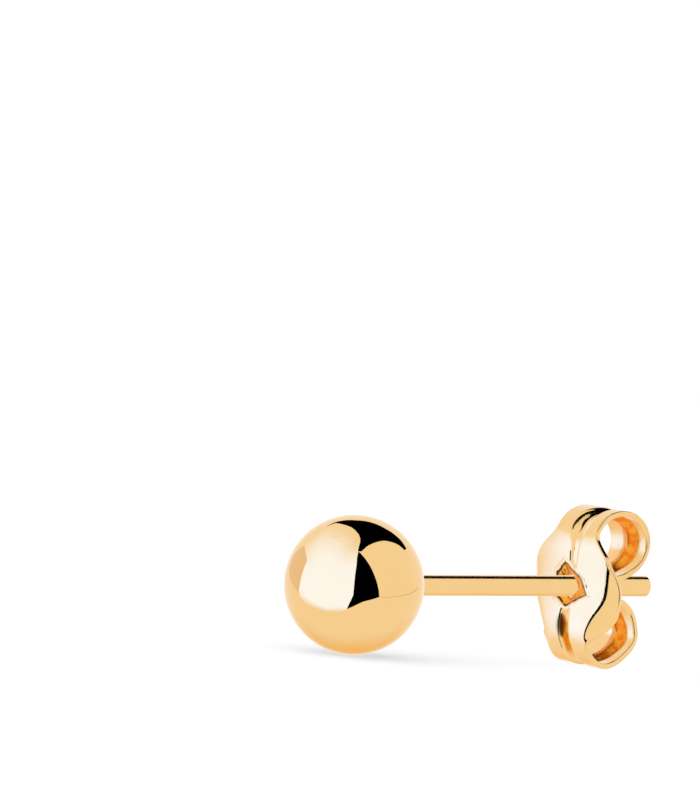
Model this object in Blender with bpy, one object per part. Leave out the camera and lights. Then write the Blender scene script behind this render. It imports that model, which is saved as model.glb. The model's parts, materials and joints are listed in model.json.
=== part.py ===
"""Ball stud earring: a polished gold ball on a straight post, and the butterfly clutch that slides on it.

Sizes are in metres. Both pieces are worked out in the post's own frame, where the ball's centre is the
origin, the post runs along +X and the clutch's two loops lie above and below it. The frame is then
tilted so that the ball and the clutch's lower loop both rest on the plane z = 0.
"""
import math

import bmesh
import bpy
import numpy as np
from mathutils import Matrix, Vector

# Ball and post
BALL_DIAMETER = 0.0050
FLAT_DIAMETER = 0.0014
POST_DIAMETER = 0.00075
POST_LENGTH = 0.0100
TIP_ROUND = 0.00010
SOLDER_LEG = 0.00022

# Butterfly clutch, one stamped and curled strip of sheet metal
CLUTCH_SETBACK = 0.00668
SHEET = 0.00020
ARM_WIDTH = 0.0026
END_WIDTH = 0.0022
LOBE_WIDTH = 0.00544
LOBE_HEIGHT = 0.0041
PLATE_LEAN = math.radians(3.5)
UPPER_LOOP_RADIUS = 0.00117
LOWER_LOOP_RADIUS = 0.00117
BOW_DEPTH = 0.00016
GROOVE_WIDTH = 0.00092
GROOVE_DEPTH = 0.00022
FOLD_SLOPE = 0.55
STAR_WIDTH = 0.0022
STAR_HEIGHT = 0.0017
FUNNEL_DEPTH = 0.00030
RUNNING_GAP = 0.00005

# How finely the round forms are cut
BALL_SIDES = 48
BALL_RINGS = 24
CORNER_STEPS = 4
ROW_STEP = 0.00022
HOLE_RINGS = (0.0, 0.12, 0.30, 0.60, 1.0)

BALL_RADIUS = BALL_DIAMETER / 2
POST_RADIUS = POST_DIAMETER / 2
FLAT_X = math.sqrt(BALL_RADIUS ** 2 - (FLAT_DIAMETER / 2) ** 2)
TIP_X = FLAT_X + POST_LENGTH
PLATE_X = FLAT_X + CLUTCH_SETBACK + SHEET / 2

# Loops seen along the width, each swept round its own centre from the plate, over the back and in to the post:
# angle in degrees, radius as a share of the loop's radius
UPPER_LOOP = (
    (170, 1.02), (150, 0.98), (120, 0.985), (90, 1.00), (0, 1.00), (-30, 1.02), (-60, 1.03), (-90, 1.08),
    (-105, 1.10),
)
LOWER_LOOP = (
    (170, 0.90), (150, 0.90), (120, 1.00), (93, 1.02), (74, 0.93), (45, 0.87), (24, 0.92), (6, 0.96),
    (-15, 1.02), (-34, 1.06), (-56, 1.08), (-80, 1.04), (-100, 1.05),
)

# Outline of the plate's lobes: height as a share of half the lobes' height, how far the half width has grown
# from the arm's to the lobe's
LOBE_OUTLINE = (
    (-1.05, 0.00), (-0.95, 0.07), (-0.83, 0.30), (-0.66, 0.58), (-0.51, 0.76), (-0.24, 0.96), (0.00, 1.00),
    (0.24, 0.93), (0.44, 0.75), (0.58, 0.61), (0.71, 0.39), (0.88, 0.11), (1.00, 0.00),
)

# Line along which the lobes' lower corners are folded back: height as above, distance from the middle as a
# share of half the lobes' width, share of the fold's full slope
FOLD_LINE = (
    (-1.02, 0.53, 0.0), (-0.90, 0.49, 0.6), (-0.76, 0.47, 1.0), (-0.59, 0.57, 1.0), (-0.41, 0.71, 1.0),
    (-0.24, 0.83, 0.95), (-0.11, 0.90, 0.8), (0.15, 0.96, 0.5), (0.39, 1.01, 0.0),
)

# Groove pressed along the strip's middle: distance along the strip in shares of half the lobes' height, share
# of the groove's width, share of its depth
GROOVE_RUN = (
    (-1.35, 1.00, 1.0), (-0.95, 1.00, 0.8), (-0.45, 0.75, 0.6), (0.0, 0.70, 0.0), (0.50, 0.66, 0.6),
    (1.0, 0.85, 0.8), (1.35, 1.00, 1.0),
)

# Columns of the strip's mesh as shares of half the arm's width; those inside the groove keep their width
GROOVE_COLUMNS = (0.0, 0.10, 0.20, 0.30, 0.40)
OUTER_COLUMNS = (0.58, 0.78, 0.92, 1.0)
PATCH_COLUMN = 0.78


def through_rows(rows, column, x):
    """Smooth cubic through one column of a table whose first column is the place."""
    rows = sorted(rows)
    places = np.array([row[0] for row in rows], float)
    values = np.array([row[column] for row in rows], float)
    slopes = np.diff(values) / np.diff(places)
    tangents = np.concatenate([slopes[:1], (slopes[:-1] + slopes[1:]) / 2, slopes[-1:]])
    x = np.clip(np.asarray(x, float), places[0], places[-1])
    i = np.clip(np.searchsorted(places, x, side="right") - 1, 0, len(places) - 2)
    step = places[i + 1] - places[i]
    t = (x - places[i]) / step
    start = (2 * t ** 3 - 3 * t ** 2 + 1) * values[i] + (t ** 3 - 2 * t ** 2 + t) * step * tangents[i]
    end = (3 * t ** 2 - 2 * t ** 3) * values[i + 1] + (t ** 3 - t ** 2) * step * tangents[i + 1]
    return start + end


def smoothstep(x):
    """Rise from 0 to 1 with level ends."""
    x = np.clip(x, 0.0, 1.0)
    return x * x * (3 - 2 * x)


def seat_height():
    """Height over the post's axis of an arm's middle line where its groove straddles the post with the gap."""
    half = GROOVE_WIDTH / 2
    w = np.linspace(0, POST_RADIUS + RUNNING_GAP + SHEET, 80)
    phase = np.pi * np.clip(w / half, 0, 1)
    pressed = GROOVE_DEPTH * (np.cos(phase) / 2 + 0.5)
    slope = -GROOVE_DEPTH * np.pi / (2 * half) * np.sin(phase)
    face_w = w + slope / np.hypot(1, slope) * SHEET / 2
    face_z = pressed - SHEET / 2 / np.hypot(1, slope)
    clear = (POST_RADIUS + RUNNING_GAP) ** 2 - face_w ** 2
    return (np.sqrt(np.maximum(clear, 0)) - face_z).max()


def loop_line(table, radius, side):
    """Middle line of one loop in the XZ plane; side is +1 for the upper loop and -1 for the lower one."""
    angles = np.linspace(table[0][0], table[-1][0], 180)
    radii = radius * through_rows(table, 1, angles)
    across = radii * np.cos(np.radians(angles))
    up = radii * np.sin(np.radians(angles))
    height = seat_height() - up.min()
    back = PLATE_X + side * height * math.tan(PLATE_LEAN) - across[:40].min()
    return np.stack([back + across, side * (height + up)], axis=1)


def plate_line(middle, loop, lean):
    """Middle line of half the plate, from the post's height to the start of a loop."""
    t = np.linspace(0, 1, 60)[:, None]
    reach = np.linalg.norm(loop[0] - middle)
    leave = lean * reach
    arrive = (loop[1] - loop[0]) / np.linalg.norm(loop[1] - loop[0]) * reach
    start = (2 * t ** 3 - 3 * t ** 2 + 1) * middle + (t ** 3 - 2 * t ** 2 + t) * leave
    end = (3 * t ** 2 - 2 * t ** 3) * loop[0] + (t ** 3 - t ** 2) * arrive
    return start + end


def strip_line():
    """Distance along the strip from the post's height, and the middle line's points, from the lower end up."""
    middle = np.array([PLATE_X, 0.0])
    lean = np.array([math.sin(PLATE_LEAN), math.cos(PLATE_LEAN)])
    upper = loop_line(UPPER_LOOP, UPPER_LOOP_RADIUS, 1)
    lower = loop_line(LOWER_LOOP, LOWER_LOOP_RADIUS, -1)
    above = np.concatenate([plate_line(middle, upper, lean)[1:], upper[1:]])
    below = np.concatenate([plate_line(middle, lower, -lean)[1:], lower[1:]])
    points = np.concatenate([below[::-1], middle[None], above])
    steps = np.linalg.norm(np.diff(points, axis=0), axis=1)
    along = np.concatenate([[0.0], np.cumsum(steps)])
    return along - along[len(below)], points


ALONG, LINE = strip_line()
START, END = ALONG[0], ALONG[-1]


def line_at(s):
    """Point of the middle line at a distance along the strip, run on straight past its ends."""
    inside = np.clip(s, START, END)
    point = np.stack([np.interp(inside, ALONG, LINE[:, 0]), np.interp(inside, ALONG, LINE[:, 1])], axis=-1)
    first = (LINE[1] - LINE[0]) / (ALONG[1] - ALONG[0])
    last = (LINE[-1] - LINE[-2]) / (ALONG[-1] - ALONG[-2])
    past = np.asarray(s - inside)[..., None]
    return point + past * np.where(past > 0, last, first)


def half_width(s):
    """Half the strip's width at a distance along it: lobes on the plate, arms that narrow to their ends."""
    lobes = through_rows(LOBE_OUTLINE, 1, s / (LOBE_HEIGHT / 2)) * (LOBE_WIDTH - ARM_WIDTH) / 2
    ends = np.where(s > 0, s / END, s / START)
    arm = ARM_WIDTH - (ARM_WIDTH - END_WIDTH) * smoothstep((ends - 0.45) / 0.5)
    return arm / 2 + lobes


def relief(s, w):
    """How far the sheet is pressed back from its plain form at s along and w across."""
    height = s / (LOBE_HEIGHT / 2)
    across = np.abs(w)
    lobe = LOBE_WIDTH / 2
    on_plate = 1 - smoothstep((np.abs(height) - 0.8) / 0.4)
    bow = BOW_DEPTH * (across / lobe) ** 2 * on_plate
    groove_half = GROOVE_WIDTH / 2 * through_rows(GROOVE_RUN, 1, height)
    groove = np.cos(np.pi * np.clip(across / groove_half, 0, 1)) / 2 + 0.5
    groove = groove * GROOVE_DEPTH * through_rows(GROOVE_RUN, 2, height)
    past_fold = np.maximum(across - lobe * through_rows(FOLD_LINE, 1, height), 0)
    fold = FOLD_SLOPE * through_rows(FOLD_LINE, 2, height) * past_fold
    star = across / (STAR_WIDTH / 2) + np.abs(s) / (STAR_HEIGHT / 2)
    funnel = FUNNEL_DEPTH * smoothstep((1.15 - star) / 0.6)
    return bow + groove + fold + funnel


def sheet_middle(s, w):
    """Middle of the sheet's thickness, as points in the post's frame."""
    reach = SHEET / 100
    ahead = line_at(s + reach) - line_at(s - reach)
    ahead = ahead / np.linalg.norm(ahead, axis=-1, keepdims=True)
    pressed = relief(s, w)
    x = line_at(s)[..., 0] + ahead[..., 1] * pressed
    z = line_at(s)[..., 1] - ahead[..., 0] * pressed
    return np.stack([x, w, z], axis=-1)


def sheet_face(s, w, side):
    """One face of the sheet: side is +1 for the outer face, towards the ball on the plate, and -1 inside."""
    reach = SHEET / 50
    along = sheet_middle(s + reach, w) - sheet_middle(s - reach, w)
    across = sheet_middle(s, w + reach) - sheet_middle(s, w - reach)
    normal = np.cross(across, along)
    normal = normal / np.linalg.norm(normal, axis=-1, keepdims=True)
    return sheet_middle(s, w) + normal * side * SHEET / 2


def star_edge(angle):
    """Edge of the torn hole at an angle round the post: slit points on the axes, tips near the post between."""
    tips = POST_RADIUS + RUNNING_GAP * 2
    slit = np.hypot(np.cos(angle) * STAR_WIDTH, np.sin(angle) * STAR_HEIGHT) / 2
    return tips + (slit - tips) * np.abs(np.cos(2 * angle)) ** 3


def column_places(s):
    """Distances across the strip of the mesh's columns at s along it."""
    half = float(half_width(s))
    kept = [share * ARM_WIDTH / 2 for share in GROOVE_COLUMNS]
    last = GROOVE_COLUMNS[-1]
    spread = [kept[-1] + (half - kept[-1]) * (share - last) / (1 - last) for share in OUTER_COLUMNS]
    right = kept + spread
    return np.array([-w for w in reversed(right[1:])] + right)


def strip_rows():
    """Distances along the strip of the mesh's rows, with one row at the post's height."""
    below = np.linspace(START, 0, math.ceil(-START / ROW_STEP) + 1)
    above = np.linspace(0, END, math.ceil(END / ROW_STEP) + 1)
    return np.concatenate([below, above[1:]])


def add_layer(bm, s, w, side, back_x):
    """Vertices of one face of the sheet, in the clutch's own frame."""
    points = sheet_face(s, w, side)
    return [bm.verts.new((x - back_x, y, z)) for x, y, z in points]


def add_quads(bm, first, second, flipped):
    """Faces between two open rows of vertices."""
    for a, b, c, d in zip(first[:-1], first[1:], second[1:], second[:-1]):
        bm.faces.new((d, c, b, a) if flipped else (a, b, c, d))


def clutch_mesh():
    """The clutch as one closed sheet, cut through by the star hole."""
    rows = strip_rows()
    places = np.array([column_places(s) for s in rows])
    shares = GROOVE_COLUMNS + OUTER_COLUMNS
    middle = len(shares) - 1
    left = middle - shares.index(PATCH_COLUMN)
    right = middle + shares.index(PATCH_COLUMN)
    patch_half = STAR_HEIGHT / 2 + 1.5 * ROW_STEP
    inside = np.nonzero(np.abs(rows) <= patch_half)[0]
    bottom, top = inside[0], inside[-1]

    bm = bmesh.new()
    layers = {}
    for side in (1, -1):
        grid = {}
        for i, s in enumerate(rows):
            for j, w in enumerate(places[i]):
                if bottom < i < top and left < j < right:
                    continue
                grid[i, j] = add_layer(bm, np.array([s]), np.array([w]), side, PLATE_X)[0]
        for i in range(len(rows) - 1):
            for j in range(len(places[0]) - 1):
                if bottom <= i < top and left <= j < right:
                    continue
                corners = (grid[i, j], grid[i + 1, j], grid[i + 1, j + 1], grid[i, j + 1])
                bm.faces.new(corners if side == 1 else corners[::-1])
        layers[side] = grid

    round_patch = [(bottom, j) for j in range(left, right)] + [(i, right) for i in range(bottom, top)]
    round_patch += [(top, j) for j in range(right, left, -1)] + [(i, left) for i in range(top, bottom, -1)]
    edge_s = np.array([rows[i] for i, _ in round_patch])
    edge_w = np.array([places[i][j] for i, j in round_patch])
    angle = np.arctan2(edge_s, edge_w)
    hole_s = star_edge(angle) * np.sin(angle)
    hole_w = star_edge(angle) * np.cos(angle)
    hole = {}
    for side in (1, -1):
        rings = []
        for share in HOLE_RINGS[:-1]:
            s = hole_s + (edge_s - hole_s) * share
            w = hole_w + (edge_w - hole_w) * share
            rings.append(add_layer(bm, s, w, side, PLATE_X))
        rings.append([layers[side][key] for key in round_patch])
        for inner, outer in zip(rings[:-1], rings[1:]):
            add_quads(bm, inner + inner[:1], outer + outer[:1], side == -1)
        hole[side] = rings[0]
    add_quads(bm, hole[1] + hole[1][:1], hole[-1] + hole[-1][:1], True)

    last_row = len(rows) - 1
    last_column = len(places[0]) - 1
    border = [(0, j) for j in range(last_column)] + [(i, last_column) for i in range(last_row)]
    border += [(last_row, j) for j in range(last_column, 0, -1)] + [(i, 0) for i in range(last_row, 0, -1)]
    outer = [layers[1][key] for key in border]
    inner = [layers[-1][key] for key in border]
    add_quads(bm, outer + outer[:1], inner + inner[:1], False)
    bmesh.ops.recalc_face_normals(bm, faces=bm.faces)
    return bm


def corner_arc(centre_x, centre_r, radius, start, end):
    """Points of an arc in the turned profile, from one angle in degrees to another."""
    points = []
    for step in range(CORNER_STEPS + 1):
        angle = math.radians(start + (end - start) * step / CORNER_STEPS)
        points.append((centre_x + radius * math.cos(angle), centre_r + radius * math.sin(angle)))
    return points


def stud_profile():
    """Half section of the ball, its flat, the solder joint and the post, as (x, radius)."""
    flat_angle = math.degrees(math.asin(FLAT_DIAMETER / BALL_DIAMETER))
    profile = []
    for ring in range(BALL_RINGS + 1):
        angle = math.radians(180 - (180 - flat_angle) * ring / BALL_RINGS)
        profile.append((BALL_RADIUS * math.cos(angle), BALL_RADIUS * math.sin(angle)))
    profile += corner_arc(FLAT_X + SOLDER_LEG, POST_RADIUS + SOLDER_LEG, SOLDER_LEG, 180, 270)
    profile += corner_arc(TIP_X - TIP_ROUND, POST_RADIUS - TIP_ROUND, TIP_ROUND, 90, 0)
    profile.append((TIP_X, 0.0))
    return profile


def stud_mesh():
    """The ball and post turned about the post's axis as one solid."""
    bm = bmesh.new()
    verts = [bm.verts.new((x, 0.0, radius)) for x, radius in stud_profile()]
    edges = [bm.edges.new(pair) for pair in zip(verts[:-1], verts[1:])]
    bmesh.ops.spin(
        bm, geom=verts + edges, axis=(1, 0, 0), cent=(0, 0, 0), angle=math.tau, steps=BALL_SIDES, use_merge=True)
    bmesh.ops.remove_doubles(bm, verts=bm.verts, dist=POST_RADIUS / 1000)
    bmesh.ops.recalc_face_normals(bm, faces=bm.faces)
    return bm


def gold(name, colour, roughness):
    """Polished gold alloy."""
    material = bpy.data.materials.new(name)
    material.use_nodes = True
    shader = material.node_tree.nodes["Principled BSDF"]
    shader.inputs["Base Color"].default_value = colour
    shader.inputs["Metallic"].default_value = 1.0
    shader.inputs["Roughness"].default_value = roughness
    return material


def add_piece(name, bm, material, axis, place):
    """Make an object from a mesh, with its origin on the post's axis."""
    mesh = bpy.data.meshes.new(name)
    bm.to_mesh(mesh)
    bm.free()
    mesh.shade_smooth()
    mesh.set_sharp_from_angle(angle=math.radians(40))
    mesh.materials.append(material)
    piece = bpy.data.objects.new(name, mesh)
    piece.parent = axis
    piece.location = place
    bpy.context.collection.objects.link(piece)
    return piece


def rest_tilt(clutch):
    """Angle that the post rises at when the ball and the clutch both touch the table."""
    tilts = []
    for vertex in clutch.data.vertices:
        x = vertex.co.x + clutch.location.x
        z = vertex.co.z
        reach = math.hypot(x, z)
        tilts.append(-math.asin(BALL_RADIUS / reach) - math.atan2(z, x))
    return max(tilts)


def main():
    for old in list(bpy.data.objects):
        bpy.data.objects.remove(old, do_unlink=True)
    axis = bpy.data.objects.new("post_axis", None)
    bpy.context.collection.objects.link(axis)
    bright = gold("polished_gold", (0.93, 0.62, 0.27, 1.0), 0.06)
    stamped = gold("stamped_gold", (0.92, 0.60, 0.26, 1.0), 0.12)
    stud = add_piece("ball_post", stud_mesh(), bright, axis, (0, 0, 0))
    clutch = add_piece("butterfly_clutch", clutch_mesh(), stamped, axis, (PLATE_X, 0, 0))

    tilt = rest_tilt(clutch)
    turn = Matrix.Rotation(-tilt, 4, "Y")
    ends = [(turn @ (piece.location + vertex.co)).x for piece in (stud, clutch) for vertex in piece.data.vertices]
    axis.rotation_euler = (0, -tilt, 0)
    axis.location = Vector((-(min(ends) + max(ends)) / 2, 0, BALL_RADIUS))


main()
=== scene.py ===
"""Looks of a ball stud earring: a polished gold ball and post, and a stamped butterfly clutch on the post.

Finer meshes stand in for the CAD solids. They are worked out in the post's own frame: the ball's centre
is the origin, the post runs along +X and the clutch's loops lie above and below it.
"""
import json
import math

import bmesh
import bpy
import numpy as np
from mathutils import Matrix, Vector


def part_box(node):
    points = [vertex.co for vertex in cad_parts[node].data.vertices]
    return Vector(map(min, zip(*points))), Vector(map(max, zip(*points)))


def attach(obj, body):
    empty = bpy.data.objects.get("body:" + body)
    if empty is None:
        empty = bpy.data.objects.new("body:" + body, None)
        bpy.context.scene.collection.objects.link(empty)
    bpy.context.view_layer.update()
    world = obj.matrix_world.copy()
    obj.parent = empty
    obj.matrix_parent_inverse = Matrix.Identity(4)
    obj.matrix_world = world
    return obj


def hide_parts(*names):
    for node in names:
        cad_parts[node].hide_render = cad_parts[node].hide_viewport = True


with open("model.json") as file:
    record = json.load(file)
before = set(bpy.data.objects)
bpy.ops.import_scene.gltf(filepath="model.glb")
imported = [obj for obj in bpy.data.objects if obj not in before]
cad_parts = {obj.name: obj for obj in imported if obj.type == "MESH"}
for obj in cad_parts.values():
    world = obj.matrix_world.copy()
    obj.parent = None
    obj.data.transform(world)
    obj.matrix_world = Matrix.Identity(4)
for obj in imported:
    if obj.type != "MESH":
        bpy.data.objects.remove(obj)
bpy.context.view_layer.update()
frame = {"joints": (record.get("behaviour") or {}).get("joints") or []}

# Ball and post
BALL_DIAMETER = 0.0050
FLAT_DIAMETER = 0.0010
POST_DIAMETER = 0.00075
POST_LENGTH = 0.00995
TIP_ROUND = 0.00007
SOLDER_LEG = 0.00010
FLAT_EDGE = 0.00001

# Butterfly clutch, one stamped and curled strip of sheet metal
CLUTCH_SETBACK = 0.00663
SHEET = 0.00020
EDGE_ROUND = 0.00006
HOLE_EDGE_ROUND = 0.00002
ARM_WIDTH = 0.0026
END_WIDTH = 0.0022
LOBE_WIDTH = 0.00544
LOBE_HEIGHT = 0.0041
PLATE_LEAN = math.radians(3.5)
UPPER_LOOP_RADIUS = 0.00117
LOWER_LOOP_RADIUS = 0.00117
BOW_DEPTH = 0.00016
GROOVE_WIDTH = 0.00092
GROOVE_DEPTH = 0.00022
FOLD_SLOPE = 0.62
FOLD_ROUND = 0.00008
DIMPLE_WIDTH = 0.0022
DIMPLE_HEIGHT = 0.00172
DIMPLE_DEPTH = 0.00017
BURR_HEIGHT = 0.00002
BURR_WIDTH = 0.00005
DIMPLE_ROUND = 0.00003
CRUMPLE = 0.000016
RAGGED = 0.025
RUNNING_GAP = 0.00005
HOLE_CLEARANCE = 0.00006
HOLE_WAVES = 0.000006

# Where an arm starts to narrow and over what stretch, as shares of its length
ARM_NARROWS_FROM = 0.45
ARM_NARROWS_OVER = 0.5

# Heights between which the plate's bow fades out, in shares of half the lobes' height
BOW_FADES = (0.8, 1.2)

# Places from the hole's middle, at 0, to the dimple's edge, at 1, and past it: where the groove sets in, how
# far inside the edge the torn and the raw metal with its painted reflection start, and where the rim of
# painted shade lies and how far it spreads
GROOVE_SETS_IN = (0.9, 1.3)
TORN_OVER = 0.25
RAW_OVER = 0.08
RIM_PLACE = 0.90
RIM_SPREAD = 0.07

# Raw metal low in the groove, dull and with painted reflection in deep orange: half its width and its soft
# edge in shares of the groove's width, and the distances down the strip between which it grows and fades
RAW_HALF_WIDTH = 0.36
RAW_EDGE = 0.1
RAW_GROWS = (0.0009, 0.0013)
RAW_FADES = (0.0022, 0.0030)

# Painted dark reflection, a dark drop in the groove below the hole: distance down to its top, length, width
# and distance to the +Y side, how fast its ends fade, and a least width that keeps the ends from closing to
# nothing
SHADE_TOP = 0.00095
SHADE_LENGTH = 0.00100
SHADE_WIDTH = 0.00032
SHADE_MIDDLE = 0.00029
SHADE_ENDS = 3
SHADE_LEAST_WIDTH = 0.000001

# Raw ridge inside the loops, with painted reflection in deep orange and painted shade in a darker edge round
# it, in shares of the groove's width from its middle line: how far its border wanders, where the ridge is
# full and where it ends, and where the darker edge round it ends
RIDGE_WANDERS = 0.25
RIDGE_FULL = 0.60
RIDGE_ENDS = 0.66
RIDGE_EDGE_ENDS = 0.76

# How finely the round forms are cut
BALL_SIDES = 192
BALL_RINGS = 110
CORNER_STEPS = 8
ROW_STEP = 0.00006
GROOVE_STEPS = 14
GROOVE_REACH = 0.55
OUTER_STEPS = 26
PATCH_STEPS = 24
HOLE_STEPS = 26
RIM_STEPS = 5
POST_RINGS = 40
LOOP_POINTS = 180
PLATE_SIDE_POINTS = 40
PLATE_POINTS = 60
LINE_POINTS = 1200
LINE_EASING = 9
SEAT_POINTS = 80
ROWS_PAST_DIMPLE = 3
SHARP_ANGLE = math.radians(35)
MILLIMETRE = 0.001

BALL_RADIUS = BALL_DIAMETER / 2
POST_RADIUS = POST_DIAMETER / 2
FLAT_X = math.sqrt(BALL_RADIUS ** 2 - (FLAT_DIAMETER / 2) ** 2)
TIP_X = FLAT_X + POST_LENGTH
PLATE_X = FLAT_X + CLUTCH_SETBACK + SHEET / 2

# Loops seen along the width, each swept round its own centre from the plate, over the back and in to the
# post: angle in degrees, radius as a share of the loop's radius
UPPER_LOOP = (
    (170, 1.02), (150, 0.97), (120, 0.95), (90, 0.94), (50, 0.96), (0, 1.00), (-30, 1.02), (-60, 1.03),
    (-90, 1.08), (-105, 1.10),
)
LOWER_LOOP = (
    (170, 0.90), (150, 0.90), (120, 1.00), (93, 1.02), (74, 0.96), (45, 0.93), (24, 0.99), (6, 1.03),
    (-15, 1.02), (-34, 1.06), (-56, 1.08), (-80, 1.04), (-100, 1.05),
)

# Outline of the plate's lobes: height as a share of half the lobes' height, how far the half width has grown
# from the arm's to the lobe's
LOBE_OUTLINE = (
    (-1.05, 0.00), (-0.95, 0.07), (-0.83, 0.30), (-0.66, 0.58), (-0.51, 0.76), (-0.24, 0.96), (0.00, 1.00),
    (0.24, 0.93), (0.44, 0.75), (0.58, 0.61), (0.71, 0.39), (0.88, 0.11), (1.00, 0.00),
)

# Line along which the lobes' lower corners are folded back: height as above, distance from the middle as a
# share of half the lobes' width, share of the fold's full slope
FOLD_LINE = (
    (-1.10, 0.57, 0.0), (-0.96, 0.52, 0.6), (-0.84, 0.49, 1.0), (-0.73, 0.52, 1.0), (-0.62, 0.57, 1.0),
    (-0.45, 0.66, 1.0), (-0.30, 0.76, 1.0), (-0.15, 0.83, 1.0), (0.10, 0.86, 0.9), (0.32, 0.86, 0.6),
    (0.52, 0.85, 0.0),
)

# Groove pressed along the strip's middle: distance along the strip in shares of half the lobes' height, share
# of the groove's width, share of its depth, share of its half width that its walls take, and how far it lies
# to the +Y side in shares of its width
GROOVE_RUN = (
    (-3.00, 1.00, 1.0, 0.9, 0.0), (-2.50, 1.00, 1.0, 0.9, -0.30), (-1.90, 1.00, 1.0, 0.9, -0.30),
    (-1.35, 1.00, 1.0, 0.9, -0.05), (-0.95, 0.95, 0.9, 0.9, 0.0), (-0.45, 0.75, 0.6, 0.7, 0.0),
    (0.0, 0.60, 0.0, 0.5, -0.1), (0.50, 0.55, 0.35, 0.45, -0.25), (0.85, 0.80, 0.5, 0.6, -0.24),
    (1.05, 1.25, 0.75, 0.9, -0.20), (1.30, 1.25, 0.95, 0.9, -0.15), (1.70, 1.00, 1.0, 0.9, -0.25),
    (2.60, 1.00, 1.0, 0.9, -0.25), (3.20, 1.00, 1.0, 0.9, 0.0),
)

# Dimple pressed in round the post's hole, whose edge runs straight between these corners: distance to the +Y
# side and upwards in shares of half its width and height, share of the way out that the metal is torn
DIMPLE_CORNERS = (
    (-1.18, -0.30, 0.12), (-0.78, 0.42, 0.0), (0.28, 1.12, 0.10), (0.84, 0.54, 0.12), (0.80, -0.57, 0.15),
    (0.02, -0.98, 0.10),
)
TEAR_ANGLE = math.radians(9)

# The photograph's view: where the camera stands round the earring, and the ball's centre and scale in it
IMAGE_WIDTH = 700
IMAGE_HEIGHT = 800
CAMERA_AZIMUTH = math.radians(-32)
CAMERA_ELEVATION = math.radians(3)
CAMERA_ROLL = math.radians(5.2)
CAMERA_DISTANCE = 0.440
SENSOR = 36.0
PIXELS_PER_METRE = 28100.0
BALL_PIXEL_X = 354.1
BALL_PIXEL_Y = 584.9

# Studio cards, whose corners are degrees to the right of the camera and degrees above the horizon as seen
# from the earring. Dark cards are black all over.
STUDIO_RADIUS = 0.25
CAMERA_GAP = (
    (4, 61), (18, 50), (27, 37), (33, 23), (41, -1), (44, -12), (31, -17), (18, -22), (11, -26), (1, -32),
    (-10, -37), (-5, -26), (0, -13), (0, 3), (0, 20), (1, 36), (1, 50),
)
DARK_CEILING = (
    (-152, 35), (-163, 36), (-177, 43), (175, 42), (157, 39), (146, 30), (138, 27), (129, 31), (128, 38),
    (122, 48), (112, 59), (90, 68), (44, 70), (13, 61), (4, 61), (2, 61), (4, 68), (13, 78), (36, 86),
    (-178, 84), (-166, 75), (-162, 66), (-159, 58), (-158, 50), (-159, 40),
)
TABLE_EDGE_HEIGHT = 0.5
TABLE_EDGE = ((44, -11), (49, -12), (79, -8), (102, -5), (131, 0))
LEFT_WALL = (
    (-149, 8), (-146, 2), (-135, -1), (-119, -7), (-105, -13), (-100, -5), (-98, 5), (-98, 14), (-99, 22),
    (-116, 25), (-136, 22),
)

# Glowing cards: middle, then for each corner its direction, its glow there and how far out it starts to fade
SOFTBOX_MIDDLE = (-50, 10)
SOFTBOX = (
    (1, 50, 0.70, 0.3), (1, 36, 0.95, 0.3), (0, 20, 1.0, 0.3), (0, 3, 1.0, 0.3), (0, -13, 1.0, 0.3),
    (-5, -26, 1.0, 0.8), (-10, -37, 0.9, 0.8), (-31, -43, 0.0, 0.82), (-52, -43, 0.0, 0.8),
    (-71, -37, 0.0, 0.8), (-89, -28, 0.2, 0.8), (-102, -18, 0.6, 0.8), (-103, -12, 0.9, 0.5),
    (-100, -5, 1.0, 0.3), (-98, 5, 1.0, 0.3), (-98, 14, 0.95, 0.3), (-99, 22, 0.85, 0.3),
    (-116, 25, 0.55, 0.4), (-136, 24, 0.15, 0.3), (-146, 30, 0.0, 0.3), (-155, 38, 0.0, 0.3),
    (-159, 40, 0.0, 0.3), (-158, 50, 0.0, 0.3), (-162, 66, 0.0, 0.3), (-166, 75, 0.0, 0.3),
    (-178, 84, 0.0, 0.3), (36, 86, 0.0, 0.3), (13, 78, 0.05, 0.3), (4, 68, 0.25, 0.3), (2, 61, 0.45, 0.3),
)
CLUTCH_SOFTBOX_MIDDLE = (-108, 1)
CLUTCH_SOFTBOX = (
    (-98, -28, 0.3, 0.3), (-98, 0, 1.0, 0.3), (-64, 2, 1.0, 0.3), (-66, 18, 0.3, 0.3),
    (-98, 19, 0.1, 0.1), (-110, 20, 0.0, 0.1), (-130, 18, 0.0, 0.2), (-131, 0, 0.0, 0.35),
    (-134, -26, 0.0, 0.3), (-112, -34, 0.0, 0.3),
)
# Dark cloth that only the clutch reflects: a strip beside its softbox, and two pieces high over it
CLUTCH_GAP = ((-98, -45), (-98, 1), (-72, 1), (-74, -7), (-84, -20), (-87, -45))
CLUTCH_CEILING = (
    (-112, 31), (-101, 38), (-86, 56), (-74, 72), (-40, 81), (60, 82), (150, 78), (-150, 76), (-120, 67),
    (-116, 50), (-117, 36),
)
CLUTCH_FLAG = ((-56, 64), (-56, 77), (-10, 80), (-12, 66))
WARM_BOUNCE_MIDDLE = (178, -38)
WARM_BOUNCE = (
    (110, -25, 0.0, 0.1), (140, -12, 0.0, 0.1), (180, -10, 0.0, 0.1), (-140, -12, 0.0, 0.1),
    (-115, -30, 0.0, 0.1), (-100, -72, 0.0, 0.1), (60, -75, 0.0, 0.1),
)
WHITE = (1.0, 1.0, 1.0, 1.0)
BLACK = (0.0, 0.0, 0.0, 1.0)
SOFTBOX_LIGHT = (0.07, 0.50, 2.0, 1.0)
LEFT_WALL_LIGHT = (0.915, 0.815, 0.775, 1.0)
WARM_LIGHT = (0.95, 0.72, 0.36, 1.0)
TABLE_EDGE_LIGHT = (0.60, 0.48, 0.36, 1.0)
EDGE_STEPS = 4
GLOW_RINGS = 16
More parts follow.
